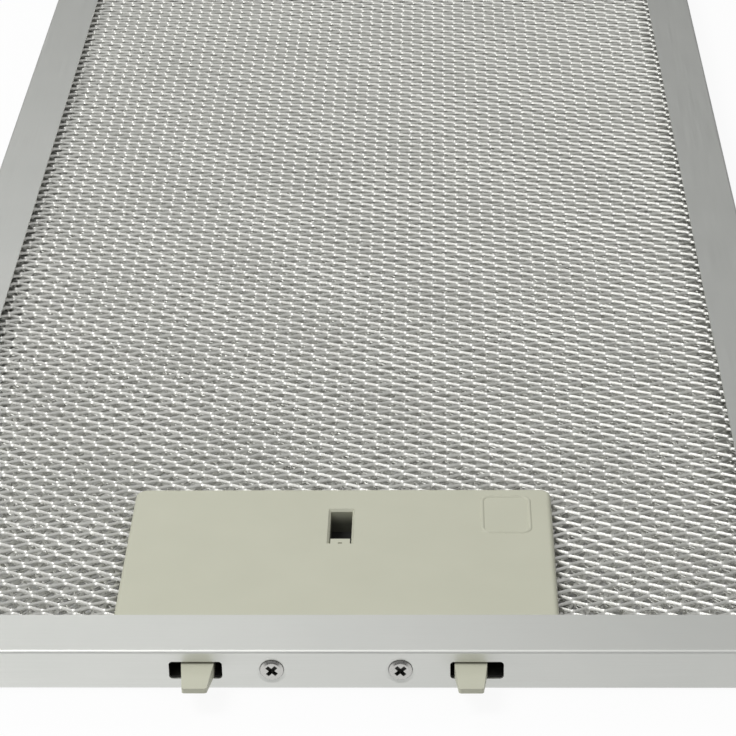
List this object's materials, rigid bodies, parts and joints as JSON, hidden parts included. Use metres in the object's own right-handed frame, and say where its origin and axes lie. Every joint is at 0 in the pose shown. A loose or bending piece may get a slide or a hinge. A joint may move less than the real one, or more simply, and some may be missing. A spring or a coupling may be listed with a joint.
{
  "type": "cooker hood grease filter",
  "caption": "Flat metal grease filter for a cooker hood: folded aluminium channel frame round expanded mesh, with a spring-loaded thumb latch whose tongues hold it in the hood.",
  "frame": {"origin": "centre of the footprint, latch tongues included, on the face that the filter lies on", "axes": "+X across the filter, +Y from the latch edge to the far edge, +Z out of the latch side"},
  "size_m": [0.197, 0.3832, 0.009],
  "materials": {
    "frame_aluminium": "satin, cleaned and lacquered aluminium strip",
    "mesh_aluminium": "bright expanded aluminium foil",
    "latch_plastic": "grey-beige moulded plastic, fine satin grain",
    "tray_plastic": "near-black moulded plastic, matte",
    "fastener_steel": "bright zinc-plated steel"
  },
  "bodies": {
    "filter": {"frame": "frame_aluminium", "front_mesh": "mesh_aluminium", "inner_mesh_1": "mesh_aluminium", "inner_mesh_2": "mesh_aluminium", "inner_mesh_3": "mesh_aluminium", "rear_mesh": "mesh_aluminium", "latch_cover": "latch_plastic", "latch_base": "tray_plastic", "latch_screw_left": "fastener_steel", "latch_screw_right": "fastener_steel", "latch_spring_left": "fastener_steel", "latch_spring_right": "fastener_steel"},
    "slider": {"latch_slider": "latch_plastic"}
  },
  "joints": [
    {"name": "latch_slide", "type": "slide", "parent": "filter", "child": "slider", "axis": [0, 1, 0], "range_m": [0, 0.0085], "stiffness_N_per_m": 880, "springref_m": -0.003, "deforming": ["latch_spring_left", "latch_spring_right"]}
  ]
}
